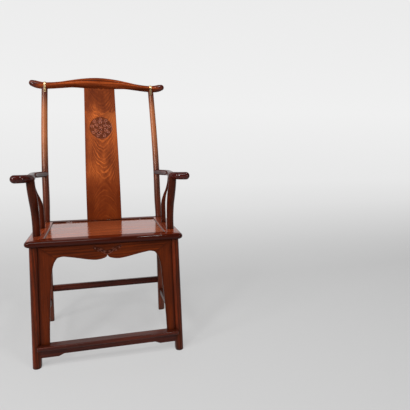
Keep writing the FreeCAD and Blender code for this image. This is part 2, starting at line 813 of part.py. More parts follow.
def build_chair():
    """Every piece of the chair under its name."""
    crest_blank = crest_body()
    post_blank = make_back_post(crest_blank)
    arm_blank = arm_body()
    front_leg = make_front_leg()
    front_core = leg_body(True, leg_radius - apron_tongue_length)
    back_core = leg_body(False, leg_radius - apron_tongue_length)
    front_deep = leg_body(True, leg_radius - stretcher_tenon_length)
    back_deep = leg_body(False, leg_radius - stretcher_tenon_length)
    arm_post = make_standing(arm_post_line(), foot_tenon_radius, arm_post_tenon_radius, arm_blank)
    side_post = make_standing(side_post_line(), side_foot_tenon_radius, side_post_tenon_radius, arm_blank)
    arm_pins = end_pins(arm_post_line(), foot_tenon_radius, arm_post_tenon_radius, fit_gap)
    side_pins = end_pins(side_post_line(), side_foot_tenon_radius, side_post_tenon_radius, fit_gap)

    pieces = seat_pieces([arm_pins[0], side_pins[0]])
    pieces["seat_panel"] = make_panel()

    tongue_inset = (apron_thickness - apron_tongue_thickness) / 2
    wide_inset = tongue_inset - fit_gap
    wide_tongue = apron_tongue_thickness + fit_gap * 2
    sheet = housed(arch_sheet(0, apron_thickness), arch_sheet(tongue_inset, apron_tongue_thickness),
                   both(leg_body(True)), both(front_core))
    zone = apron_zone()
    pieces["front_apron"] = sheet.common(zone)
    strips = sheet.cut(zone).Solids
    side_apron = housed(side_board(0, apron_thickness), side_board(tongue_inset, apron_tongue_thickness),
                        leg_body(True).fuse(leg_body(False)), front_core.fuse(back_core))
    pieces["back_apron"] = housed(back_board(0, apron_thickness),
                                  back_board(tongue_inset, apron_tongue_thickness),
                                  both(leg_body(False)), both(back_core))
    pieces["footrest_apron"] = housed(footrest_board(0, apron_thickness),
                                      footrest_board(tongue_inset, apron_tongue_thickness),
                                      both(leg_body(True)), both(front_core))
    pieces["footrest"] = housed(make_footrest_body(), footrest_tenon(),
                                both(leg_body(True)), both(front_deep))
    side_ends = side_stretcher_ends()
    back_ends = back_stretcher_ends()
    side_stretcher = housed(rounded_bar(*side_ends, side_stretcher_height), stretcher_tenon(side_ends),
                            leg_body(True).fuse(leg_body(False)), front_deep.fuse(back_deep))
    pieces["back_stretcher"] = housed(rounded_bar(*back_ends, back_stretcher_height),
                                      stretcher_tenon(back_ends), both(leg_body(False)), both(back_deep))

    shallow = leg_radius - apron_tongue_length - fit_gap
    deep = leg_radius - stretcher_tenon_length - fit_gap
    front_leg = front_leg.cut([
        arch_sheet(wide_inset, wide_tongue).cut(leg_body(True, shallow)),
        footrest_board(wide_inset, wide_tongue).cut(leg_body(True, shallow)),
        side_board(wide_inset, wide_tongue).cut(leg_body(True, shallow)),
        footrest_tenon(fit_gap).cut(leg_body(True, deep)),
        stretcher_tenon(side_ends, fit_gap).cut(leg_body(True, deep))])
    back_post = post_blank.cut([
        side_board(wide_inset, wide_tongue).cut(leg_body(False, shallow)),
        back_board(wide_inset, wide_tongue).cut(leg_body(False, shallow)),
        stretcher_tenon(side_ends, fit_gap).cut(leg_body(False, deep)),
        stretcher_tenon(back_ends, fit_gap).cut(leg_body(False, deep)),
        arm_tenon(fit_gap)])

    splat = splat_board(0, splat_thickness).cut(crest_blank)
    pieces["back_splat"] = splat.fuse([splat_foot(), splat_head()])
    top = back_point(1.0, 1.0, 1.0)
    post_socket = rod(top.x, top.y, top.z - overrun * 2, crest_tenon_top + fit_gap,
                      post_tenon_radius + fit_gap)
    nails = [make_nail(True), make_nail(False)]
    pieces["crest_rail"] = crest_blank.cut([both(post_socket), splat_head(fit_gap), both(nails[1])])
    arm = arm_blank.cut(post_blank).fuse(arm_tenon()).cut([arm_pins[1], side_pins[1]])

    sides = {"back_post": back_post.cut(nails[0]), "front_leg": front_leg, "arm": arm, "arm_post": arm_post,
             "side_post": side_post, "front_apron_strip": max(strips, key=lambda strip: strip.CenterOfMass.x),
             "side_apron": side_apron, "side_stretcher": side_stretcher, "seat_brace": make_brace(),
             "crest_strap": make_strap().cut(nails)}
    for name, shape in sides.items():
        pieces["right_" + name] = shape
        pieces["left_" + name] = mirrored(shape)
    pieces = {name: one_solid(shape) for name, shape in pieces.items()}
    pieces["strap_nails"] = Part.makeCompound(nails + [mirrored(nail) for nail in nails])
    return pieces


def main():
    """Stand the chair with its origin under the middle of its outer size and save its pieces."""
    pieces = build_chair()
    box = Part.makeCompound(list(pieces.values())).optimalBoundingBox()
    shift = Vector(-(box.XMin + box.XMax) / 2, -(box.YMin + box.YMax) / 2, -box.ZMin)
    os.makedirs("parts", exist_ok=True)
    for name, shape in pieces.items():
        shape.translate(shift)
        shape.exportStep("parts/" + name + ".step")
    print("shift", shift)
    print("box", box)


main()
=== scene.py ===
import bpy
import bmesh
import math
import numpy as np
from mathutils import Matrix, Vector


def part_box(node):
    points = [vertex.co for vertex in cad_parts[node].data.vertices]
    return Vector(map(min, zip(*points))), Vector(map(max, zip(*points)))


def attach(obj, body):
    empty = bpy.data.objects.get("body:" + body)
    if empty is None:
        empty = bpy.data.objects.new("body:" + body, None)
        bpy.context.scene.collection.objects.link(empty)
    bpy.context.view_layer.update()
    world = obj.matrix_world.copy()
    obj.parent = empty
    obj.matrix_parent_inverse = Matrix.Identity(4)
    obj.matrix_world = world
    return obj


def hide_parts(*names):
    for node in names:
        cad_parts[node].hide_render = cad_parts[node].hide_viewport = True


# The looks of a high-backed armchair in polished rosewood: drawn-out rails and posts,
# a bent splat with a carved roundel, an arched apron with a small carved scroll, and
# brass straps over the crest rail. Sizes are in metres. Pieces are drawn with the middle
# of the seat frame over the origin and then moved to the solids; of a pair the right one
# is drawn, and mirrored for the left.

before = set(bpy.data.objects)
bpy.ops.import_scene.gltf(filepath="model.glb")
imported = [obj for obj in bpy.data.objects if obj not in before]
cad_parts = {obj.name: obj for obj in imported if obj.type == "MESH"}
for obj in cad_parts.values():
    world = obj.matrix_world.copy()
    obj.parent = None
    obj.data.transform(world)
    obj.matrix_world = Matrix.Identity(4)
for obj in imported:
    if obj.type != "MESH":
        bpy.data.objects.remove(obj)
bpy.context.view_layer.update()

UP = Vector((0, 0, 1))
ACROSS = Vector((1, 0, 0))
BACK = Vector((0, 1, 0))

# Seat frame, as in the solids but with fuller edges
half_width = 0.303
half_depth = 0.224
seat_height = 0.501
frame_thickness = 0.026
frame_bottom = seat_height - frame_thickness
front_rail_width = 0.052
back_rail_width = 0.050
side_rail_width = 0.067
seat_corner_round = 0.017
seat_edge_round = 0.0125
rail_lip_round = 0.002
overall_height = 1.1775
# how near counts as touching
touch = 0.0001

# Legs
leg_radius = 0.0165
leg_inset = 0.031
back_leg_tuck = 0.0065
leg_splay_side = 0.010
leg_splay_end = 0.029
leg_corner_round = 0.003
front_leg_x = half_width - leg_inset
back_leg_x = front_leg_x - back_leg_tuck
leg_y = half_depth - leg_inset
# height above the floor and what is left there of the leg's thickness
foot_levels = [(0.0, 0.93), (0.0006, 0.965), (0.002, 1.0)]

# Back posts
post_radius_low = 0.016
post_radius_high = 0.0136
post_height = 0.628
post_rake = 0.070
post_narrowing = 0.0187
# height, rake and narrowing along the curve of the back
back_curve = [(0.0, 0.0, 0.0), (0.13, 0.05, 0.18), (0.38, 0.285, 0.245), (0.64, 0.67, 0.42),
              (0.89, 0.98, 0.77), (1.0, 1.0, 1.0)]

# Crest rail
crest_reach = 0.301
crest_tip = 0.014
crest_height = 0.0495
crest_thickness = 0.034
crest_drop = 0.018
crest_sweep = 0.010
crest_forward = 0.005
crest_y = leg_y + post_rake - crest_forward
crest_middle = overall_height - crest_height / 2
# distance out, drop of the middle line, height and thickness
crest_line = [(0.0, 0.0, 1.0, 1.0), (0.249, 0.15, 0.89, 0.98), (0.405, 0.32, 0.707, 0.93),
              (0.581, 0.71, 0.606, 0.88), (0.734, 0.944, 0.596, 0.86), (0.831, 1.0, 0.616, 0.86),
              (0.914, 0.847, 0.667, 0.87), (0.963, 0.639, 0.657, 0.88), (1.0, 0.458, 0.574, 0.84)]

# Splat and its roundel
splat_half_low = 0.0812
splat_half_high = 0.0705
splat_thickness = 0.012
splat_setback = 0.0128
splat_rake = 0.074
splat_edge_round = 0.0022
splat_top = crest_middle - 0.012
# height and taper of the sides
splat_sides = [(0.0, 0.0), (0.38, 0.23), (0.7, 0.63), (1.0, 1.0)]
roundel_height = 0.941
roundel_radius = 0.054
roundel_depth = 0.0018
roundel_margin = 0.002
# how finely the splat's front is divided: across it, and up the roundel
splat_columns = 180
roundel_rows = 124

# Arms
arm_height = 0.725
arm_rise = 0.0095
arm_start = (0.258, 0.209)
arm_end = (0.320, -0.208)
arm_tip = 0.015
arm_width = 0.032
arm_thickness = 0.031
# distance forward, distance out, rise, width and thickness from the back post to the grip
arm_line = [(0.0, 0.0, 0.0, 0.69, 0.84), (0.193, 0.312, 0.3, 0.74, 0.84),
            (0.384, 0.516, 0.62, 0.84, 0.84), (0.575, 0.484, 0.74, 0.87, 0.86),
            (0.754, 0.297, 0.84, 0.96, 0.89), (0.874, 0.25, 0.9, 1.03, 0.93),
            (0.928, 0.312, 0.95, 1.02, 0.96), (0.971, 0.516, 0.97, 1.0, 0.98),
            (1.0, 1.0, 1.0, 0.97, 1.0)]

# Posts under the arms
arm_post_foot = (0.2693, -0.116)
arm_post_swing = 0.0033
arm_post_lean = 0.052
arm_post_radius = 0.0145
arm_post_growth = 0.002
# height, outward swing, forward lean and growth
arm_post_line = [(0.0, 0.0, 0.0, 0.0), (0.2, -0.2, 0.02, 0.0), (0.43, -0.25, 0.22, 0.4),
                 (0.65, -0.1, 0.66, 1.0), (0.83, 0.5, 0.93, 0.85), (1.0, 1.0, 1.0, 0.7)]
side_post_foot = (0.266, 0.040)
side_post_swing = 0.0245
side_post_lean = 0.016
side_post_radius = 0.0106
side_post_taper = 0.0054
# height, outward swing, forward lean and taper
side_post_line = [(0.0, 0.0, 0.0, 0.0), (0.24, -0.02, 0.0, 0.05), (0.42, 0.0, 0.05, 0.15),
                  (0.56, 0.24, 0.25, 0.6), (0.68, 0.6, 0.6, 0.9), (0.84, 0.92, 0.9, 1.0),
                  (1.0, 1.0, 1.0, 1.0)]

# Boards between the front legs
apron_thickness = 0.012
apron_forward = 0.009
apron_side_gap = 0.0015
board_gap = 0.0002
strip_foot_gap = 0.0001
# how far the strips' outer edges lie inside the middles of the legs
strip_inset = 0.0145
footrest_top = 0.091
# how round their edges are, in shares of their sections
apron_edge_share = 0.03
strip_edge_share = 0.09
scroll_height = 0.427
scroll_reach = 0.0648
scroll_depth = 0.0017
# how finely the apron's front is divided: out to the scroll's end, and up the board
scroll_columns = 81
apron_rows = 57
# half width and height of the arch's edge, in shares of the opening, from the footrest to the cusp
arch_line = [(0.904, 0.18), (0.893, 0.32), (0.862, 0.558), (0.845, 0.663), (0.826, 0.777),
             (0.803, 0.834), (0.771, 0.874), (0.732, 0.899), (0.677, 0.908), (0.568, 0.902),
             (0.415, 0.886), (0.274, 0.8705), (0.164, 0.8646), (0.07, 0.872), (0.02, 0.883),
             (0.0, 0.899)]

# Paper sweep behind the chair
paper_half_width = 7.0
paper_front = -6.0
paper_bend_start = 1.4
paper_bend = 1.2
paper_top = 7.0

# Camera: lens and film in millimetres; its turn, downward look and tilt in radians
camera_lens = 35.10
camera_film = 36
camera_turn = 0.26464
camera_down = 0.14575
camera_tilt = 0.0020
camera_place = Vector((-0.02935, -1.79253, 0.85222))

# Air: how grey it looks and how much light it gives
air_grey = 0.8
air_light = 0.18

# From the frame that the pieces are drawn in to the place of the solids
chair_shift = Vector((0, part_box("seat_front_rail")[0].y + half_depth, 0))


# Finishes

class Signal:
    """A value on its way through a finish; sums written on it become maths nodes."""

    def __init__(self, finish, socket):
        self.finish = finish
        self.socket = socket

    def maths(self, operation, *values):
        return self.finish.node("ShaderNodeMath", {"operation": operation}, dict(enumerate(values)))

    def __add__(self, other):
        return self.maths("ADD", self, other)

    def __mul__(self, other):
        return self.maths("MULTIPLY", self, other)

    def __sub__(self, other):
        return self.maths("SUBTRACT", self, other)

    def __rsub__(self, other):
        return self.maths("SUBTRACT", other, self)

    def __truediv__(self, other):
        return self.maths("DIVIDE", self, other)

    def __pow__(self, other):
        return self.maths("POWER", self, other)

    __radd__ = __add__
    __rmul__ = __mul__

    def __abs__(self):
        return self.maths("ABSOLUTE", self)

    def sine(self):
        return self.maths("SINE", self)

    def log(self):
        return self.maths("LOGARITHM", self, math.e)

    def at_least(self, other):
        return self.maths("MAXIMUM", self, other)

    def above(self, low, high):
        """Nought below low, one above high and an even slope between."""
        return self.finish.node("ShaderNodeMapRange", {"clamp": True},
                                {0: self, 1: low, 2: high, 3: 0.0, 4: 1.0})

    def wave(self, length):
        """An even wave from nought to one, of this length."""
        return (self * (2 * math.pi / length)).sine() * 0.5 + 0.5


class Finish:
    """A material and its shader."""

    def __init__(self, name):
        self.material = bpy.data.materials.new(name)
        self.material.use_nodes = True
        self.tree = self.material.node_tree
        self.shader = self.tree.nodes["Principled BSDF"]

    def node(self, kind, settings=None, values=None, out=0):
        """Any node, with its settings and what goes into it; gives one of its outputs."""
        made = self.tree.nodes.new(kind)
        for key, value in (settings or {}).items():
            if key == "stops":
                ramp = made.color_ramp
                while len(ramp.elements) < len(value):
                    ramp.elements.new(0.5)
                for element, (place, colour) in zip(ramp.elements, value):
                    element.position = place
                    element.color = (*colour, 1)
            else:
                setattr(made, key, value)
        for key, value in (values or {}).items():
            self.feed(made.inputs[key], value)
        return Signal(self, made.outputs[out])

    def feed(self, socket, value):
        if isinstance(value, Signal):
            self.tree.links.new(value.socket, socket)
        elif isinstance(value, tuple) and len(value) == 3 and socket.type == "RGBA":
            socket.default_value = (*value, 1)
        else:
            socket.default_value = value

    def place(self):
        """The place on the piece, as three values."""
        here = self.node("ShaderNodeTexCoord", out="Object")
        return [self.node("ShaderNodeSeparateXYZ", None, {0: here}, axis) for axis in "XYZ"]

    def noise(self, x, y, z, detail=2.0, rough=0.5):
        where = self.node("ShaderNodeCombineXYZ", None, {"X": x, "Y": y, "Z": z})
        return self.node("ShaderNodeTexNoise", None,
                         {"Vector": where, "Scale": 1.0, "Detail": detail, "Roughness": rough}, "Fac")

    def attribute(self, name):
        """A value that is kept in the corners of the piece's mesh."""
        return self.node("ShaderNodeAttribute", {"attribute_name": name}, out="Fac")

    def blend(self, share, first, second):
        """Two colours mixed."""
        return self.node("ShaderNodeMix", {"data_type": "RGBA"}, {0: share, 6: first, 7: second}, 2)

    def ramp(self, share, stops):
        return self.node("ShaderNodeValToRGB", {"stops": stops}, {0: share}, "Color")

    def bump(self, height, depth, strength):
        return self.node("ShaderNodeBump", None, {"Strength": strength, "Distance": depth, "Height": height})

    def worn(self, reach):
        """How near a spot is to a sharp edge, from nought to about one."""
        soft = self.node("ShaderNodeBevel", {"samples": 4}, {"Radius": reach})
        hard = self.node("ShaderNodeNewGeometry", out="Normal")
        facing = self.node("ShaderNodeVectorMath", {"operation": "DOT_PRODUCT"}, {0: soft, 1: hard}, "Value")
        return (1 - facing).above(0.02, 0.25)

    def tucked(self, reach):
        """How deep in a corner or beside a neighbour a spot is, from nought to one."""
        open_share = self.node("ShaderNodeAmbientOcclusion", {"samples": 6}, {"Distance": reach}, "AO")
        return (1 - open_share).above(0.22, 0.72)

    def surface(self, **sockets):
        """Feeds the shader's sockets by name and gives the finished material."""
        for key, value in sockets.items():
            self.feed(self.shader.inputs[key.replace("_", " ")], value)
        return self.material


def tone(*colour):
    """A colour as it looks, from 0 to 255, turned into the light it gives back."""
    return tuple((c / 255 / 12.92) if c <= 10 else ((c / 255 + 0.055) / 1.055) ** 2.4 for c in colour)


def darker(colour, share):
    """What is left of a colour."""
    return tuple(c * share for c in colour)


def wood_tones(red, green, blue, spread=1.0):
    """Four tones of one wood from dark to light about its middle tone."""
    def shade(share):
        share = 1 + (share - 1) * spread
        return tone(red * share, green * share ** 1.25, blue * share ** 1.4)
    return [(0.28, shade(0.55)), (0.44, shade(0.85)), (0.56, shade(1.1)), (0.74, shade(1.5))]


def fine_grain(wood, side, deep, along):
    """Fibres and open pores, both drawn out along the grain."""
    fibre = wood.noise(side * 480, deep * 480, along * 13, 3, 0.6)
    pores = wood.noise(side * 1200, deep * 1200, along * 40, 1).above(0.60, 0.74)
    return fibre, pores


def rosewood(name, grain, tones, figure, ring, painted_light=0.0, ends=0.0, nose_shade=0.0, **polish):
    """Polished rosewood whose grain runs along x, y or z, in dark streaks and faint rings.

    figure is how strongly its rings show and ring how far apart they are, painted_light how strongly
    a pale band of light is painted on the posts above the arms, ends the place where dark tips begin,
    and nose_shade how strongly shade is painted on the seat's rounded edge, below its lit top.
    """
    wood = Finish(name)
    x, y, z = wood.place()
    side, deep, along = {"x": (y, z, x), "y": (x, z, y), "z": (x, y, z)}[grain]
    drift = wood.noise(side * 8, deep * 8, along * 1.9) - 0.5
    streak = wood.noise(side * 75 + drift * 4, deep * 75, along * 2.6 + drift * 2, 3, 0.55)
    cloud = wood.noise(side * 13 + 3, deep * 13, along * 4.2)
    fibre, pores = fine_grain(wood, side, deep, along)
    rings = (side + deep * 0.7 + drift * 0.035 - along * 0.02).wave(ring)
    share = streak * 0.6 + cloud * 0.4 + (fibre - 0.5) * 0.35 + (rings - 0.5) * (figure * 0.35)
    colour = wood.ramp(share, tones)
    colour = wood.blend(pores * 0.45, colour, darker(tones[0][1], 0.4))
    # A pale band of light painted on the posts above the arms, where the lamps fall most strongly.
    if painted_light:
        height = z + drift * 0.1
        pale = height.above(0.74, 0.90) * (1 - height.above(1.02, 1.1))
        colour = wood.blend(pale * painted_light, colour, tone(206, 122, 70))
    if ends:
        tips = abs(along + drift * 0.02).above(ends, ends + 0.03)
        colour = wood.blend(tips * 0.75, colour, tone(62, 18, 14))
        polish["coat"] = tips * 0.4 + polish["coat"]
    # Painted shade on the seat's rounded edge, kept darker than the lit top of the rails.
    if nose_shade:
        edge = 1 - z.above(seat_height - 0.0025, seat_height - 0.0002)
        colour = wood.blend(edge * nose_shade, colour, tone(52, 13, 4))
    return dress(wood, colour, fibre, pores, rings * 0.25, tones, **polish)


def dress(wood, colour, fibre, pores, relief, tones, rough, coat, gloss, haze, tint=(1.0, 0.74, 0.80)):
    """The polish over the wood: worn edges, painted shade in the hollows, in corners and beside
    neighbouring pieces, a painted highlight on carved ridges, sheen and fine relief.

    rough is the wood's own roughness, coat the weight of the polish and gloss its roughness,
    haze the strength of the wood's own reflection and tint the colour of that.
    """
    x, y, z = wood.place()
    worn = wood.worn(0.0022) * wood.noise(x * 60, y * 60, z * 60).above(0.38, 0.62)
    hollow = wood.attribute("hollow")
    ridge = wood.attribute("ridge")
    shade_tone = darker(tones[0][1], 0.30)
    colour = wood.blend(worn * 0.35, colour, tones[-1][1])
    # A painted highlight on the standing strokes of carvings.
    colour = wood.blend(ridge * 0.55, colour, tone(176, 106, 84))
    # Painted shade in the sunk ground of carvings and along the strips' edges.
    colour = wood.blend(hollow * 0.62, colour, shade_tone)
    # Painted shade in corners and beside neighbouring pieces, where little light reaches.
    colour = wood.blend(wood.tucked(0.030) * 0.85, colour, shade_tone)
    sheen = fibre * 0.12 + worn * 0.1 + (rough - 0.06)
    height = fibre * 0.4 + relief - pores * 0.9
    polish = ridge * 0.4 + coat - pores * (coat * 0.4)
    wood.shader.inputs["Coat IOR"].default_value = 1.55
    wood.shader.inputs["Coat Roughness"].default_value = gloss
    wood.shader.inputs["Specular IOR Level"].default_value = haze
    wood.shader.inputs["Specular Tint"].default_value = (*tint, 1)
    return wood.surface(Base_Color=colour, Roughness=sheen, Coat_Weight=polish,
                        Normal=wood.bump(height, 0.0001, 0.5))


def splat_finish():
    """The splat's board, cut so that its grain stands in arches about the middle."""
    wood = Finish("rosewood_splat_figure")
    x, y, z = wood.place()
    drift = wood.noise(x * 14, y * 6, z * 9) - 0.5
    ripple = wood.noise(x * 70 + 5, y * 20, z * 60) - 0.5
    swell = wood.noise(x * 9 + 2, y * 4, z * 22, 1) - 0.5
    # The arches turn round at this height, and fade out this far from their middle
    arch_turn, arch_half, arch_x = 0.688, 0.064, 0.007
    rise = ((z - arch_turn + drift * 0.03) ** 2 + 0.0004) ** 0.5
    out = ((x - arch_x + drift * 0.022) ** 2 + 0.00008) ** 0.5 - 0.009
    inward = (arch_half - out).at_least(0.003) / arch_half
    line = rise + inward.log() * 0.050 + ripple * 0.010 + drift * 0.030 + swell * 0.030
    wave = line.wave(0.0205)
    thin = (line + 0.00172).wave(0.0108)
    power = wood.noise(line * 60, x * 20, z * 16).above(0.38, 0.64) * (arch_half - out).above(0.004, 0.020)
    fibre, pores = fine_grain(wood, x, y, z)
    cloud = wood.noise(x * 22, y * 10, z * 7, 3)
    share = cloud * 0.70 + 0.14 + (fibre - 0.5) * 0.25
    share = share + (wave ** 3 - 0.25) * power * 0.26 + (thin - 0.5) * power * 0.06
    tones = wood_tones(148, 70, 28, 0.8)
    colour = wood.ramp(share, tones)
    # Painted shade at the top, at the foot and down the left edge, and a painted pool of light right of the
    # roundel, as the light falls on the bent board
    painted_shade_top = (z + ripple * 0.05 + drift * 0.03).above(1.012, 1.028)
    painted_shade_foot = 1 - (z + drift * 0.07).above(0.660, 0.725)
    painted_shade_left = 1 - (x + drift * 0.02).above(-0.077, -0.066)
    painted_light_right = (z + drift * 0.1).above(0.90, 0.97) * (x + drift * 0.05).above(0.0, 0.05) * (1 - painted_shade_top)
    colour = wood.blend(painted_shade_top.at_least(painted_shade_left) * 0.40, colour, tone(80, 26, 8))
    colour = wood.blend(painted_shade_foot * 0.70, colour, tone(98, 32, 2))
    colour = wood.blend(painted_light_right * 0.30, colour, tone(196, 108, 50))
    colour = wood.blend(pores * 0.45, colour, tone(60, 22, 8))
    reach = (x ** 2 + (z - roundel_height) ** 2) ** 0.5
    disc = 1 - reach.above(roundel_radius - 0.004, roundel_radius)
    colour = wood.blend(disc * 0.5, colour, tone(120, 58, 38))
    return dress(wood, colour, fibre, pores, wave * power * 0.3, tones,
                 rough=0.36, coat=0.08, gloss=0.24, haze=0.14)


# Tones differ from piece to piece partly as wood and partly as painted light: the crest and the side rails,
# whose tops catch the light, get paler tones, and the legs, boards and front rail darker ones.
warm = (1.0, 0.62, 0.45)
crest_wood = rosewood("rosewood_crest", "x", wood_tones(130, 57, 25), figure=0.6, ring=0.013,
                      ends=0.262, rough=0.42, coat=0.03, gloss=0.12, haze=0.0)
arm_wood = rosewood("rosewood_arm", "y", wood_tones(64, 19, 13, 0.8), figure=0.2, ring=0.012,
                    rough=0.3, coat=0.5, gloss=0.028, haze=0.0)
post_wood = rosewood("rosewood_post", "z", wood_tones(84, 28, 9, 0.8), figure=0.3, ring=0.012,
                     painted_light=0.52, rough=0.34, coat=0.03, gloss=0.10, haze=0.7, tint=(1.0, 0.66, 0.50))
leg_wood = rosewood("rosewood_leg", "z", wood_tones(78, 24, 5), figure=0.5, ring=0.012,
                    rough=0.36, coat=0.03, gloss=0.12, haze=0.26, tint=warm)
under_arm_wood = rosewood("rosewood_under_arm", "z", wood_tones(68, 22, 8, 0.8), figure=0.2, ring=0.012,
                          rough=0.30, coat=0.03, gloss=0.06, haze=0.2, tint=warm)
rail_wood = rosewood("rosewood_rail", "x", wood_tones(88, 30, 12, 0.8), figure=0.3, ring=0.012,
                     nose_shade=0.95, rough=0.3, coat=0.26, gloss=0.02, haze=0.0)
side_rail_wood = rosewood("rosewood_side_rail", "y", wood_tones(134, 54, 24, 0.8), figure=0.3, ring=0.012,
                          nose_shade=0.95, rough=0.28, coat=0.24, gloss=0.05, haze=0.16)
board_wood = rosewood("rosewood_board", "x", wood_tones(90, 34, 7, 0.7), figure=0.4, ring=0.009,
                      rough=0.42, coat=0.04, gloss=0.2, haze=0.08)
strip_wood = rosewood("rosewood_strip", "z", wood_tones(86, 32, 8, 0.45), figure=0.2, ring=0.009,
                      rough=0.42, coat=0.04, gloss=0.2, haze=0.08)
bar_wood = rosewood("rosewood_bar", "x", wood_tones(74, 28, 15, 0.8), figure=0.3, ring=0.01,
                    rough=0.36, coat=0.18, gloss=0.15, haze=0.12)
side_bar_wood = rosewood("rosewood_side_bar", "y", wood_tones(76, 31, 17, 0.8), figure=0.3, ring=0.01,
                         rough=0.36, coat=0.18, gloss=0.15, haze=0.12)
panel_wood = rosewood("rosewood_panel_board", "x", wood_tones(160, 80, 46, 0.4), figure=0.2, ring=0.016,
                      rough=0.12, coat=0.0, gloss=0.06, haze=0.5, tint=(1.0, 0.52, 0.72))
splat_wood = splat_finish()


def brass_finish():
    """Pale brass, a little cloudy."""
    metal = Finish("pale_brass")
    x, y, z = metal.place()
    cloud = metal.noise(x * 130, y * 130, z * 130, 3)
    colour = metal.ramp(cloud, [(0.3, tone(160, 122, 78)), (0.5, tone(212, 178, 126)),
                                (0.7, tone(238, 214, 170))])
    return metal.surface(Base_Color=colour, Metallic=1.0, Roughness=cloud * 0.3 + 0.14,
                         Normal=metal.bump(cloud, 0.0002, 0.3))


brass = brass_finish()


# Drawing pieces

def even(low, high, steps):
    """Evenly spaced values from low to high, both included."""
    return [low + (high - low) * step / steps for step in range(steps + 1)]


def between(low, high, share):
    return low + (high - low) * share


def smooth_run(rows, steps):
    """A smooth run of rows of numbers through the given ones; three of each are a place."""
    rows = [Vector(row) for row in rows]
    marks = [0.0]
    for before, after in zip(rows, rows[1:]):
        marks.append(marks[-1] + (after.xyz - before.xyz).length)
    spans = [after - before for before, after in zip(marks, marks[1:])]
    rates = [(after - before) / span for before, after, span in zip(rows, rows[1:], spans)]
    slopes = [(rates[k] * spans[k + 1] + rates[k + 1] * spans[k]) / (spans[k] + spans[k + 1])
              for k in range(len(rates) - 1)]
    slopes = [rates[0] * 1.5 - slopes[0] * 0.5] + slopes + [rates[-1] * 1.5 - slopes[-1] * 0.5]
    found = []
    span = 0
    for mark in even(0, marks[-1], steps):
        while span < len(spans) - 1 and mark > marks[span + 1]:
            span += 1
        t = (mark - marks[span]) / spans[span]
        found.append(rows[span] * (2 * t ** 3 - 3 * t ** 2 + 1) + rows[span + 1] * (3 * t ** 2 - 2 * t ** 3)
                     + slopes[span] * (spans[span] * (t ** 3 - 2 * t ** 2 + t))
                     + slopes[span + 1] * (spans[span] * (t ** 3 - t ** 2)))
    return found


def at_height(run, z):
    """Where a run of points is at a height, and which way it heads there."""
    nearest = min(range(1, len(run) - 1), key=lambda step: abs(run[step].z - z))
    below, above = run[nearest - 1], run[nearest + 1]
    return between(below, above, (z - below.z) / (above.z - below.z)), (above - below).normalized()


def seating(place, right, top, forward=None):
    """A matrix that seats a section: its right and top half axes and its middle."""
    forward = forward or right.cross(top).normalized()
    matrix = Matrix((right, top, forward)).transposed().to_4x4()
    matrix.translation = place
    return matrix


def circle(mesh, sides=32):
    """The edges of a round section."""
    corners = set(bmesh.ops.create_circle(mesh, cap_ends=False, segments=sides, radius=1)["verts"])
    return [edge for edge in mesh.edges if edge.verts[0] in corners]


def rectangle(mesh, low, high):
    """The corners of a flat rectangle and its face."""
    corners = bmesh.ops.create_grid(mesh, x_segments=1, y_segments=1, size=0.5)["verts"]
    bmesh.ops.translate(mesh, vec=(0.5, 0.5, 0), verts=corners)
    bmesh.ops.scale(mesh, vec=(high[0] - low[0], high[1] - low[1], 1), verts=corners)
    bmesh.ops.translate(mesh, vec=(*low, 0), verts=corners)
    return corners


def round_off(mesh, corners, reach, steps):
    """Rounds some corners of a flat section."""
    bmesh.ops.bevel(mesh, geom=corners, offset=reach, segments=steps, profile=0.5, affect="VERTICES",
                    material=-1)


def outline(mesh):
    """The edges of a flat section, whose face is taken away."""
    bmesh.ops.delete(mesh, geom=mesh.faces[:], context="FACES_ONLY")
    return mesh.edges[:]


def draw_out(mesh, edges, seats):
    """Draws a section out through its seats and closes both ends."""
    first = edges
    corners = list({corner for edge in edges for corner in edge.verts})
    bmesh.ops.transform(mesh, matrix=seats[0], verts=corners)
    here = seats[0]
    for seat in seats[1:]:
        made = bmesh.ops.extrude_edge_only(mesh, edges=edges)["geom"]
        corners = [part for part in made if isinstance(part, bmesh.types.BMVert)]
        edges = [part for part in made if isinstance(part, bmesh.types.BMEdge)]
        bmesh.ops.transform(mesh, matrix=seat @ here.inverted(), verts=corners)
        here = seat
    bmesh.ops.edgeloop_fill(mesh, edges=first)
    bmesh.ops.edgeloop_fill(mesh, edges=edges)


def limb_seats(rows, steps, first_tip=0.0, last_tip=0.0):
    """Seats for oval sections square to a middle line; the tips close in a dome."""
    rows = smooth_run(rows, steps)
    places = []
    for k, row in enumerate(rows):
        heading = (rows[min(k + 1, steps)].xyz - rows[max(k - 1, 0)].xyz).normalized()
        places.append((row.xyz, heading, row[3], row[4], 1.0))
    for tip, end in ((-first_tip, 0), (last_tip, -1)):
        if not tip:
            continue
        place, heading, wide, high, left = places[end]
        dome = [(place + heading * tip * math.sin(turn), heading, wide, high, math.cos(turn))
                for turn in even(0, math.pi / 2, 9)[1:-1]]
        places = places + dome if end else dome[::-1] + places
    seats = []
    for place, heading, wide, high, left in places:
        level = heading.cross(UP).normalized()
        rise = level.cross(heading).normalized()
        seats.append(seating(place, level * (wide * left), rise * (high * left)))
    return seats


def upright_seats(rows, steps):
    """Seats for level round sections; the fourth number of a row is the radius."""
    return [seating(row.xyz, ACROSS * row[3], BACK * row[3], UP) for row in smooth_run(rows, steps)]


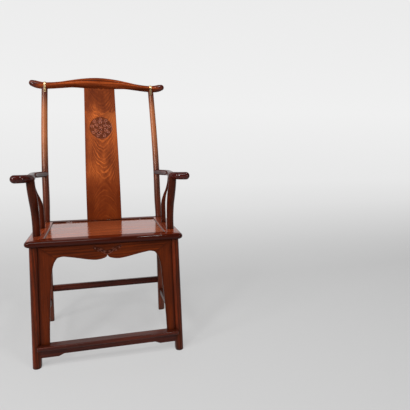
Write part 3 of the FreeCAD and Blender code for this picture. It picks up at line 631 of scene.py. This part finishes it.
def carve(mesh, centre, upward, facing, scale, strokes, depth, ground):
    """Sinks the ground into a face and leaves the strokes standing.

    The sunk and the standing spots are noted in the mesh, for painted shade on the sunk ground
    and for a painted highlight and more polish on the standing strokes.
    """
    points = np.array([point for stroke in strokes for point in stroke])
    hollow = mesh.verts.layers.float.new("hollow")
    ridge = mesh.verts.layers.float.new("ridge")
    right = upward.cross(facing).normalized()
    face_depth = 0.004
    for corner in mesh.verts:
        away = corner.co - centre
        if away.dot(facing) < -face_depth:
            continue
        out, up = away.dot(right) / scale, away.dot(upward) / scale
        sunk = ground(out, up)
        if sunk <= 0:
            continue
        gaps = np.hypot(points[:, 0] - out, points[:, 1] - up) / points[:, 2]
        lift = float(np.max(np.clip(1 - gaps * gaps, 0, 1) ** 0.6 * points[:, 3]))
        low = sunk * (1 - lift)
        corner[hollow] = low ** 1.5
        corner[ridge] = (sunk * lift) ** 2
        corner.co -= facing * (depth * low)


# Pieces whose dressed name is shorter than their node's
dressed_names = {"back_splat": "splat", "front_apron": "apron", "left_front_apron_strip": "left_apron_strip",
                 "right_front_apron_strip": "right_apron_strip"}


def hand_over(name, mesh, finish, mirror=False, sharp=42):
    """Turns a made mesh into the dressed piece of a node, on the right side or the left."""
    bmesh.ops.translate(mesh, vec=chair_shift, verts=mesh.verts)
    if mirror:
        bmesh.ops.scale(mesh, vec=(-1, 1, 1), verts=mesh.verts)
    bmesh.ops.recalc_face_normals(mesh, faces=mesh.faces)
    title = dressed_names.get(name, name) + "_dressed"
    data = bpy.data.meshes.new(title)
    mesh.to_mesh(data)
    mesh.free()
    data.shade_smooth()
    data.set_sharp_from_angle(angle=math.radians(sharp))
    data.materials.append(finish)
    piece = bpy.data.objects.new(title, data)
    bpy.context.scene.collection.objects.link(piece)
    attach(piece, "root")
    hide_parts(name)


# Crest rail, arms and posts

def make_crest():
    rows = []
    for side in (-1, 1):
        for out, drop, high, thick in crest_line[::side]:
            if out or side == 1:
                rows.append((side * crest_reach * out, crest_y + crest_sweep * out * out,
                             crest_middle - crest_drop * drop,
                             crest_thickness * thick / 2, crest_height * high / 2))
    mesh = bmesh.new()
    draw_out(mesh, circle(mesh, 40), limb_seats(rows, 90, crest_tip, crest_tip))
    hand_over("crest_rail", mesh, crest_wood)


def make_arm(side, mirror):
    rows = [(between(arm_start[0], arm_end[0], out), between(arm_start[1], arm_end[1], forward),
             arm_height + arm_rise * rise, arm_width * wide / 2, arm_thickness * thick / 2)
            for forward, out, rise, wide, thick in arm_line]
    mesh = bmesh.new()
    draw_out(mesh, circle(mesh, 36), limb_seats(rows, 80, last_tip=arm_tip))
    hand_over(side + "_arm", mesh, arm_wood, mirror)


def make_arm_post(side, mirror):
    height = arm_height + arm_rise - seat_height
    rows = [(arm_post_foot[0] + arm_post_swing * swing, arm_post_foot[1] - arm_post_lean * lean,
             seat_height + height * rise, arm_post_radius + arm_post_growth * growth)
            for rise, swing, lean, growth in arm_post_line]
    mesh = bmesh.new()
    draw_out(mesh, circle(mesh), upright_seats(rows, 40))
    hand_over(side + "_arm_post", mesh, under_arm_wood, mirror)


def make_side_post(side, mirror):
    height = arm_height + arm_rise / 2 - seat_height
    rows = [(side_post_foot[0] + side_post_swing * swing, side_post_foot[1] - side_post_lean * lean,
             seat_height + height * rise, side_post_radius - side_post_taper * taper)
            for rise, swing, lean, taper in side_post_line]
    mesh = bmesh.new()
    draw_out(mesh, circle(mesh, 28), upright_seats(rows, 48))
    hand_over(side + "_side_post", mesh, under_arm_wood, mirror)


# Legs

def leg_place(front, z):
    """The middle of the right leg at a height."""
    fall = (frame_bottom - z) / frame_bottom
    y = leg_y + leg_splay_end * fall
    return Vector(((front_leg_x if front else back_leg_x) + leg_splay_side * fall, -y if front else y, z))


def draw_leg(mesh, front):
    """A leg with a round outside and a softened square inner corner."""
    corners = rectangle(mesh, (-leg_radius, -leg_radius), (leg_radius, leg_radius))
    inner = [corner for corner in corners if corner.co.x < 0 and (corner.co.y > 0) == front]
    # A hair less than the radius, so that neighbouring rounds don't quite meet
    round_off(mesh, [corner for corner in corners if corner not in inner], leg_radius * 0.995, 10)
    round_off(mesh, inner, leg_corner_round, 4)
    levels = foot_levels + [(z, 1.0) for z in even(foot_levels[-1][0], frame_bottom, 12)[1:]]
    draw_out(mesh, outline(mesh), [seating(leg_place(front, z), ACROSS * left, BACK * left, UP)
                                   for z, left in levels])


def make_front_leg(side, mirror):
    mesh = bmesh.new()
    draw_leg(mesh, True)
    hand_over(side + "_front_leg", mesh, leg_wood, mirror)


def make_back_post(side, mirror):
    """The back leg and the post above it."""
    mesh = bmesh.new()
    draw_leg(mesh, False)
    rows = [(back_leg_x, leg_y, frame_bottom, post_radius_low)]
    rows += [(back_leg_x - post_narrowing * narrow, leg_y + post_rake * rake,
              seat_height + post_height * rise, between(post_radius_low, post_radius_high, rise))
             for rise, rake, narrow in back_curve]
    draw_out(mesh, circle(mesh), upright_seats(rows, 70))
    hand_over(side + "_back_post", mesh, post_wood, mirror)


# Seat frame

def seat_slab():
    """The seat as one slab with round edges and corners, before it is divided into rails."""
    mesh = bmesh.new()
    corners = rectangle(mesh, (-half_width, -half_depth), (half_width, half_depth))
    round_off(mesh, corners, seat_corner_round, 8)
    seats = []
    for turn in even(-math.pi / 2, math.pi / 2, 14):
        inset = seat_edge_round * (1 - math.cos(turn))
        z = (seat_height + frame_bottom) / 2 + frame_thickness / 2 * math.sin(turn)
        seats.append(seating(UP * z, ACROSS * (1 - inset / half_width), BACK * (1 - inset / half_depth), UP))
    draw_out(mesh, outline(mesh), seats)
    return mesh


def make_rail(name, finish, cuts):
    """A rail cut from the slab by upright planes: a point of each and the way that is cut off."""
    mesh = seat_slab()
    for point, way in cuts:
        made = bmesh.ops.bisect_plane(mesh, geom=mesh.verts[:] + mesh.edges[:] + mesh.faces[:],
                                      plane_co=point, plane_no=way, clear_outer=True)["geom_cut"]
        bmesh.ops.edgeloop_fill(mesh, edges=[part for part in made if isinstance(part, bmesh.types.BMEdge)])
    inner_point, inner_way = cuts[-1]
    lip = [edge for edge in mesh.edges
           if all(abs((corner.co - inner_point).dot(inner_way)) < touch
                  and corner.co.z > seat_height - touch for corner in edge.verts)]
    bmesh.ops.bevel(mesh, geom=lip, offset=rail_lip_round, segments=3, profile=0.5, affect="EDGES",
                    material=-1)
    hand_over(name, mesh, finish)


def make_seat_frame():
    """Four rails that meet in mitres at the corners."""
    ends = ((-1, front_rail_width, "seat_front_rail"), (1, back_rail_width, "seat_back_rail"))
    sides = ((-1, "seat_left_rail"), (1, "seat_right_rail"))
    for end, width, name in ends:
        cuts = [(Vector((side * half_width, end * half_depth, 0)),
                 Vector((side * width, -end * side_rail_width, 0)).normalized())
                for side, other in sides]
        cuts.append((Vector((0, end * (half_depth - width), 0)), Vector((0, -end, 0))))
        make_rail(name, rail_wood, cuts)
    for side, name in sides:
        cuts = [(Vector((side * half_width, end * half_depth, 0)),
                 Vector((-side * width, end * side_rail_width, 0)).normalized())
                for end, width, other in ends]
        cuts.append((Vector((side * (half_width - side_rail_width), 0, 0)), Vector((-side, 0, 0))))
        make_rail(name, side_rail_wood, cuts)


# Splat

def splat_rows(heights):
    """Middle, half width and lean of the splat at some heights."""
    span = crest_middle - seat_height
    base = leg_y - splat_setback + splat_thickness / 2
    middles = smooth_run([(0, base + splat_rake * rake, seat_height + span * rise)
                          for rise, rake, narrow in back_curve], 160)
    edges = smooth_run([(between(splat_half_low, splat_half_high, taper), 0, seat_height + span * rise)
                        for rise, taper in splat_sides], 160)
    rows = []
    for z in heights:
        place, lean = at_height(middles, z)
        rows.append((place, at_height(edges, z)[0].x, lean))
    return rows


def spiral(centre, start, turns, size, wide, narrow):
    """Points of a scroll that winds in to its eye, with half widths from wide to narrow."""
    points = []
    for t in even(0, 1, 22):
        turn = start + turns * 2 * math.pi * t
        reach = size * (1 - 0.86 * t)
        points.append((centre[0] + reach * math.cos(turn), centre[1] + reach * math.sin(turn),
                       between(wide, narrow, t), 1.0))
    return points


def roundel_strokes():
    """The carved lines of the roundel in shares of its radius: place, half width and height."""
    strokes = []
    # Two rings of scrolls: how many, how far out, how big and where the first one is
    for count, reach, size, first in ((9, 0.77, 0.155, 0.2), (6, 0.44, 0.15, 0.5)):
        for k in range(count):
            turn = 2 * math.pi * k / count + first
            centre = (reach * math.cos(turn), reach * math.sin(turn))
            strokes.append(spiral(centre, turn + 2.4, 1.15 * (-1) ** k, size, 0.046, 0.036))
    petals = 5
    for k in range(petals):
        turn = 2 * math.pi * k / petals
        strokes.append([(reach * math.cos(turn), reach * math.sin(turn), 0.045, 0.9)
                        for reach in (0.052, 0.091, 0.13, 0.169)])
    beads = 54
    for k in range(beads):
        turn = 2 * math.pi * k / beads
        reach = 0.60 + 0.035 * math.sin(turn * 9)
        strokes.append([(reach * math.cos(turn), reach * math.sin(turn), 0.036, 0.85)])
    return strokes


def roundel_ground(out, up):
    """How far the ground is sunk in the roundel: all of it but a soft rim."""
    return min(1.0, max(0.0, (0.985 - math.hypot(out, up)) / 0.05))


def make_splat():
    carved_low = roundel_height - roundel_radius - roundel_margin
    carved_high = roundel_height + roundel_radius + roundel_margin
    heights = even(seat_height, carved_low, 40)[:-1] + even(carved_low, carved_high, roundel_rows)
    heights += even(carved_high, splat_top, 12)[1:]
    seats = []
    for place, wide, lean in splat_rows(heights):
        thick = lean.cross(ACROSS) if seats else BACK
        seats.append(seating(place, ACROSS * (wide / splat_half_low), thick, lean))
    mesh = bmesh.new()
    corners = rectangle(mesh, (-splat_half_low, -splat_thickness / 2), (splat_half_low, splat_thickness / 2))
    round_off(mesh, corners, splat_edge_round, 3)
    wide_edges = [edge for edge in outline(mesh) if edge.calc_length() > splat_half_low]
    front = min(wide_edges, key=lambda edge: edge.verts[0].co.y)
    bmesh.ops.subdivide_edges(mesh, edges=[front], cuts=splat_columns - 1)
    draw_out(mesh, mesh.edges[:], seats)
    place, wide, lean = splat_rows([roundel_height])[0]
    facing = Vector((0, -lean.z, lean.y))
    carve(mesh, place + facing * (splat_thickness / 2), lean, facing, roundel_radius, roundel_strokes(),
          roundel_depth, roundel_ground)
    hand_over("back_splat", mesh, splat_wood, sharp=60)


# Boards between the front legs

def front_place(x, z):
    """A point on the front boards' face, which leans with the legs."""
    return Vector((x, leg_place(True, z).y - apron_forward, z))


leg_reach = front_leg_x - leg_radius
mitre_x = leg_reach * 0.74
mitre_z = frame_bottom * 0.896
mitre_slope = (frame_bottom - mitre_z) / (leg_reach - mitre_x)
arch_edge = smooth_run([(leg_reach * wide, 0, frame_bottom * high) for wide, high in arch_line], 400)
board_lean = (front_place(0, frame_bottom) - front_place(0, 0)).normalized()
board_inward = board_lean.cross(ACROSS) * apron_thickness


def arch_height(x):
    """How high the arch's edge is at a place across, and past the mitre the mitre's line."""
    if x >= mitre_x:
        return mitre_z + mitre_slope * (x - mitre_x)
    return min(arch_edge, key=lambda point: abs(point.x - x)).z


def strip_edge(z):
    """How far out the strip's inner edge is at a height, and past the mitre the mitre's line."""
    if z > mitre_z:
        return mitre_x + (z - mitre_z) / mitre_slope
    return min((point for point in arch_edge if point.x >= mitre_x), key=lambda point: abs(point.z - z)).x


def front_edges(mesh):
    """The long front edge of a section one wide and one deep."""
    return [edge for edge in mesh.edges if edge.calc_length() > 0.8 and edge.verts[0].co.y < 0.5]


def scroll_strokes():
    """The small carved scroll beside the apron's cusp, in metres from the cusp's tip: right half."""
    stem_steps = 26
    stem = smooth_run([(0.002, 0, 0.004), (0.010, 0, 0.006), (0.019, 0, 0.012), (0.028, 0, 0.022),
                       (0.040, 0, 0.031), (0.052, 0, 0.035)], stem_steps)
    strokes = [[(point.x, point.z, between(0.0017, 0.0008, k / stem_steps), 1.0)
                for k, point in enumerate(stem)]]
    # Leaves: middle, where the spiral starts, how far it turns and its size
    for leaf in (((0.0085, 0.0135), -1.3, 1.25, 0.0058), ((0.0215, 0.0235), -0.9, 1.15, 0.0055),
                 ((0.0335, 0.0175), 2.3, -1.1, 0.0046), ((0.0455, 0.0285), 2.0, -1.0, 0.0036),
                 ((0.0560, 0.0375), -2.2, 1.0, 0.0030)):
        strokes.append(spiral(*leaf, 0.0013, 0.0009))
    return strokes


def scroll_ground(out, up):
    """How far the ground is sunk about the scroll: a soft band that rises with the stem."""
    band = abs(up - 0.009 - abs(out) * 0.46) / 0.0115
    end = max(0.0, abs(out) - 0.048) / 0.010
    return max(0.0, min(1.0, (1.25 - band - end) / 0.8))


def make_apron():
    """The arched board with its front face fine enough to carve."""
    right = even(0, scroll_reach, scroll_columns) + even(scroll_reach, leg_reach - apron_side_gap, 42)[1:]
    seats = []
    for x in [-x for x in right[:0:-1]] + right:
        low = front_place(x, arch_height(abs(x)))
        tall = front_place(x, frame_bottom - board_gap) - low
        seats.append(seating(low, board_inward, tall, ACROSS))
    mesh = bmesh.new()
    corners = rectangle(mesh, (0, 0), (1, 1))
    round_off(mesh, [corner for corner in corners if corner.co.y < 0.5], apron_edge_share, 2)
    front = [edge for edge in outline(mesh) if edge.calc_length() > 0.8 and edge.verts[0].co.x < 0.01]
    bmesh.ops.subdivide_edges(mesh, edges=front, cuts=apron_rows - 1)
    draw_out(mesh, mesh.edges[:], seats)
    scroll = [[(side * x, z, half, lift) for x, z, half, lift in stroke]
              for side in (-1, 1) for stroke in scroll_strokes()]
    carve(mesh, front_place(0, scroll_height), board_lean, -board_inward.normalized(), 1.0, scroll,
          scroll_depth, scroll_ground)
    hand_over("front_apron", mesh, board_wood, sharp=50)


def make_strip(side, mirror):
    """The upright board beside the leg, from the footrest to its mitre with the apron."""
    levels = even(footrest_top + strip_foot_gap, mitre_z + strip_foot_gap, 90)
    levels += even(mitre_z, frame_bottom - board_gap, 12)[1:]
    seats = []
    for z in levels:
        inner = strip_edge(z)
        outer = leg_place(True, z).x - strip_inset
        seats.append(seating(front_place(inner, z), ACROSS * (outer - inner), board_inward, UP))
    mesh = bmesh.new()
    corners = rectangle(mesh, (0, 0), (1, 1))
    round_off(mesh, [corner for corner in corners if corner.co.x > 0.5 > corner.co.y],
              strip_edge_share, 3)
    outline(mesh)
    bmesh.ops.subdivide_edges(mesh, edges=front_edges(mesh), cuts=9)
    # Painted shade along the arch's edge and beside the leg, where the board's edge and its seam with the
    # leg lie in shadow
    hollow = mesh.verts.layers.float.new("hollow")
    for corner in mesh.verts:
        corner[hollow] = max(1 - corner.co.x / 0.22, (corner.co.x - 0.76) / 0.14, 0.0) * 0.9
    draw_out(mesh, mesh.edges[:], seats)
    hand_over(side + "_front_apron_strip", mesh, strip_wood, mirror, sharp=50)


make_crest()
make_splat()
make_seat_frame()
make_apron()
for side, mirror in (("right", False), ("left", True)):
    make_strip(side, mirror)
    make_arm(side, mirror)
    make_arm_post(side, mirror)
    make_side_post(side, mirror)
    make_front_leg(side, mirror)
    make_back_post(side, mirror)

# Nodes that show as their solids
shown_solids = {panel_wood: ["seat_panel"], board_wood: ["back_apron"],
                bar_wood: ["footrest", "footrest_apron", "back_stretcher"],
                side_bar_wood: ["left_side_apron", "right_side_apron", "left_side_stretcher",
                                "right_side_stretcher", "left_seat_brace", "right_seat_brace"],
                brass: ["left_crest_strap", "right_crest_strap", "strap_nails"]}
for finish, names in shown_solids.items():
    for name in names:
        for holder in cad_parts[name].material_slots:
            holder.material = finish


# The studio

def paper_finish():
    """White paper that keeps the chair's shadow and shows as an even pale ground."""
    paper = Finish("white_paper")
    x, y, z = paper.place()
    paper.surface(Base_Color=tone(208, 208, 208), Roughness=0.9, Specular_IOR_Level=0.1)
    glow = paper.ramp(z * 0.4, [(0.0, tone(214, 214, 214)), (0.18, tone(232, 232, 232)),
                                (0.5, tone(240, 240, 240)), (1.0, tone(236, 236, 236))])
    wall = paper.node("ShaderNodeEmission", None, {"Color": glow, "Strength": 1.0})
    camera, glossy, through = [paper.node("ShaderNodeLightPath", out="Is " + kind + " Ray")
                               for kind in ("Camera", "Glossy", "Transmission")]
    floor_share = 0.62
    glowing = y.above(0.6, 2.1) * (1 - floor_share) + floor_share
    shown = camera.at_least(glossy).at_least(through) * glowing
    lit = Signal(paper, paper.shader.outputs[0])
    mixed = paper.node("ShaderNodeMixShader", None, {0: shown, 1: lit, 2: wall})
    paper.feed(paper.tree.nodes["Material Output"].inputs[0], mixed)
    return paper.material


def make_studio():
    """A sweep of paper: the floor, a round bend and the wall."""
    mesh = bmesh.new()
    start = [mesh.verts.new((side * paper_half_width, paper_front, 0)) for side in (-1, 1)]
    edges = [mesh.edges.new(start)]
    bend = [(paper_bend_start + paper_bend * math.sin(turn), paper_bend * (1 - math.cos(turn)))
            for turn in even(0, math.pi / 2, 24)]
    here = (paper_front, 0)
    for y, z in bend + [(paper_bend_start + paper_bend, paper_top)]:
        made = bmesh.ops.extrude_edge_only(mesh, edges=edges)["geom"]
        edges = [part for part in made if isinstance(part, bmesh.types.BMEdge)]
        corners = [part for part in made if isinstance(part, bmesh.types.BMVert)]
        bmesh.ops.translate(mesh, vec=(0, y - here[0], z - here[1]), verts=corners)
        here = (y, z)
    bmesh.ops.recalc_face_normals(mesh, faces=mesh.faces)
    data = bpy.data.meshes.new("paper_sweep")
    mesh.to_mesh(data)
    mesh.free()
    data.shade_smooth()
    data.materials.append(paper_finish())
    sweep = bpy.data.objects.new("paper_sweep", data)
    bpy.context.scene.collection.objects.link(sweep)


def make_lamp(name, place, aim_height, watts, width, height):
    """A soft box that looks at the chair's middle line."""
    data = bpy.data.lights.new(name, "AREA")
    data.shape = "RECTANGLE"
    data.size = width
    data.size_y = height
    data.energy = watts
    made = bpy.data.objects.new(name, data)
    made.location = place
    made.rotation_euler = (UP * aim_height - Vector(place)).to_track_quat("-Z", "Y").to_euler()
    bpy.context.scene.collection.objects.link(made)


def make_world():
    """Pale air behind the paper, and a little light from all sides."""
    world = bpy.data.worlds.new("studio_air")
    bpy.context.scene.world = world
    world.use_nodes = True
    tree = world.node_tree
    tree.nodes.clear()
    rays = tree.nodes.new("ShaderNodeLightPath")
    shown = tree.nodes.new("ShaderNodeBackground")
    shown.inputs["Color"].default_value = (air_grey, air_grey, air_grey, 1)
    soft = tree.nodes.new("ShaderNodeBackground")
    soft.inputs["Color"].default_value = (1, 1, 1, 1)
    soft.inputs["Strength"].default_value = air_light
    mix = tree.nodes.new("ShaderNodeMixShader")
    out = tree.nodes.new("ShaderNodeOutputWorld")
    tree.links.new(rays.outputs["Is Camera Ray"], mix.inputs[0])
    tree.links.new(soft.outputs[0], mix.inputs[1])
    tree.links.new(shown.outputs[0], mix.inputs[2])
    tree.links.new(mix.outputs[0], out.inputs[0])


def make_camera():
    """The camera of the photograph."""
    data = bpy.data.cameras.new("camera")
    data.lens = camera_lens
    data.sensor_width = camera_film
    camera = bpy.data.objects.new("camera", data)
    bpy.context.scene.collection.objects.link(camera)
    ahead = Vector((math.sin(camera_turn) * math.cos(camera_down),
                    math.cos(camera_turn) * math.cos(camera_down), -math.sin(camera_down)))
    level = ahead.cross(UP).normalized()
    steep = level.cross(ahead)
    right = level * math.cos(camera_tilt) - steep * math.sin(camera_tilt)
    top = level * math.sin(camera_tilt) + steep * math.cos(camera_tilt)
    matrix = Matrix((right, top, -ahead)).transposed().to_4x4()
    matrix.translation = camera_place + chair_shift
    camera.matrix_world = matrix
    bpy.context.scene.camera = camera


make_studio()
make_world()
make_camera()
# place, height looked at, watts, width and height
make_lamp("soft_box_side", (-2.5, -1.5, 1.9), 0.7, 28, 0.6, 1.0)
make_lamp("soft_box_left", (-1.5, -2.3, 1.5), 0.7, 26, 0.35, 0.5)
make_lamp("soft_box_right", (1.6, -2.2, 1.5), 0.7, 6, 0.2, 0.25)
make_lamp("soft_box_top_right", (0.62, -1.3, 2.9), 0.6, 13, 0.3, 0.22)
make_lamp("soft_box_top", (-0.8, -1.6, 3.0), 0.6, 32, 1.7, 1.2)
bpy.context.scene.view_settings.view_transform = "Standard"
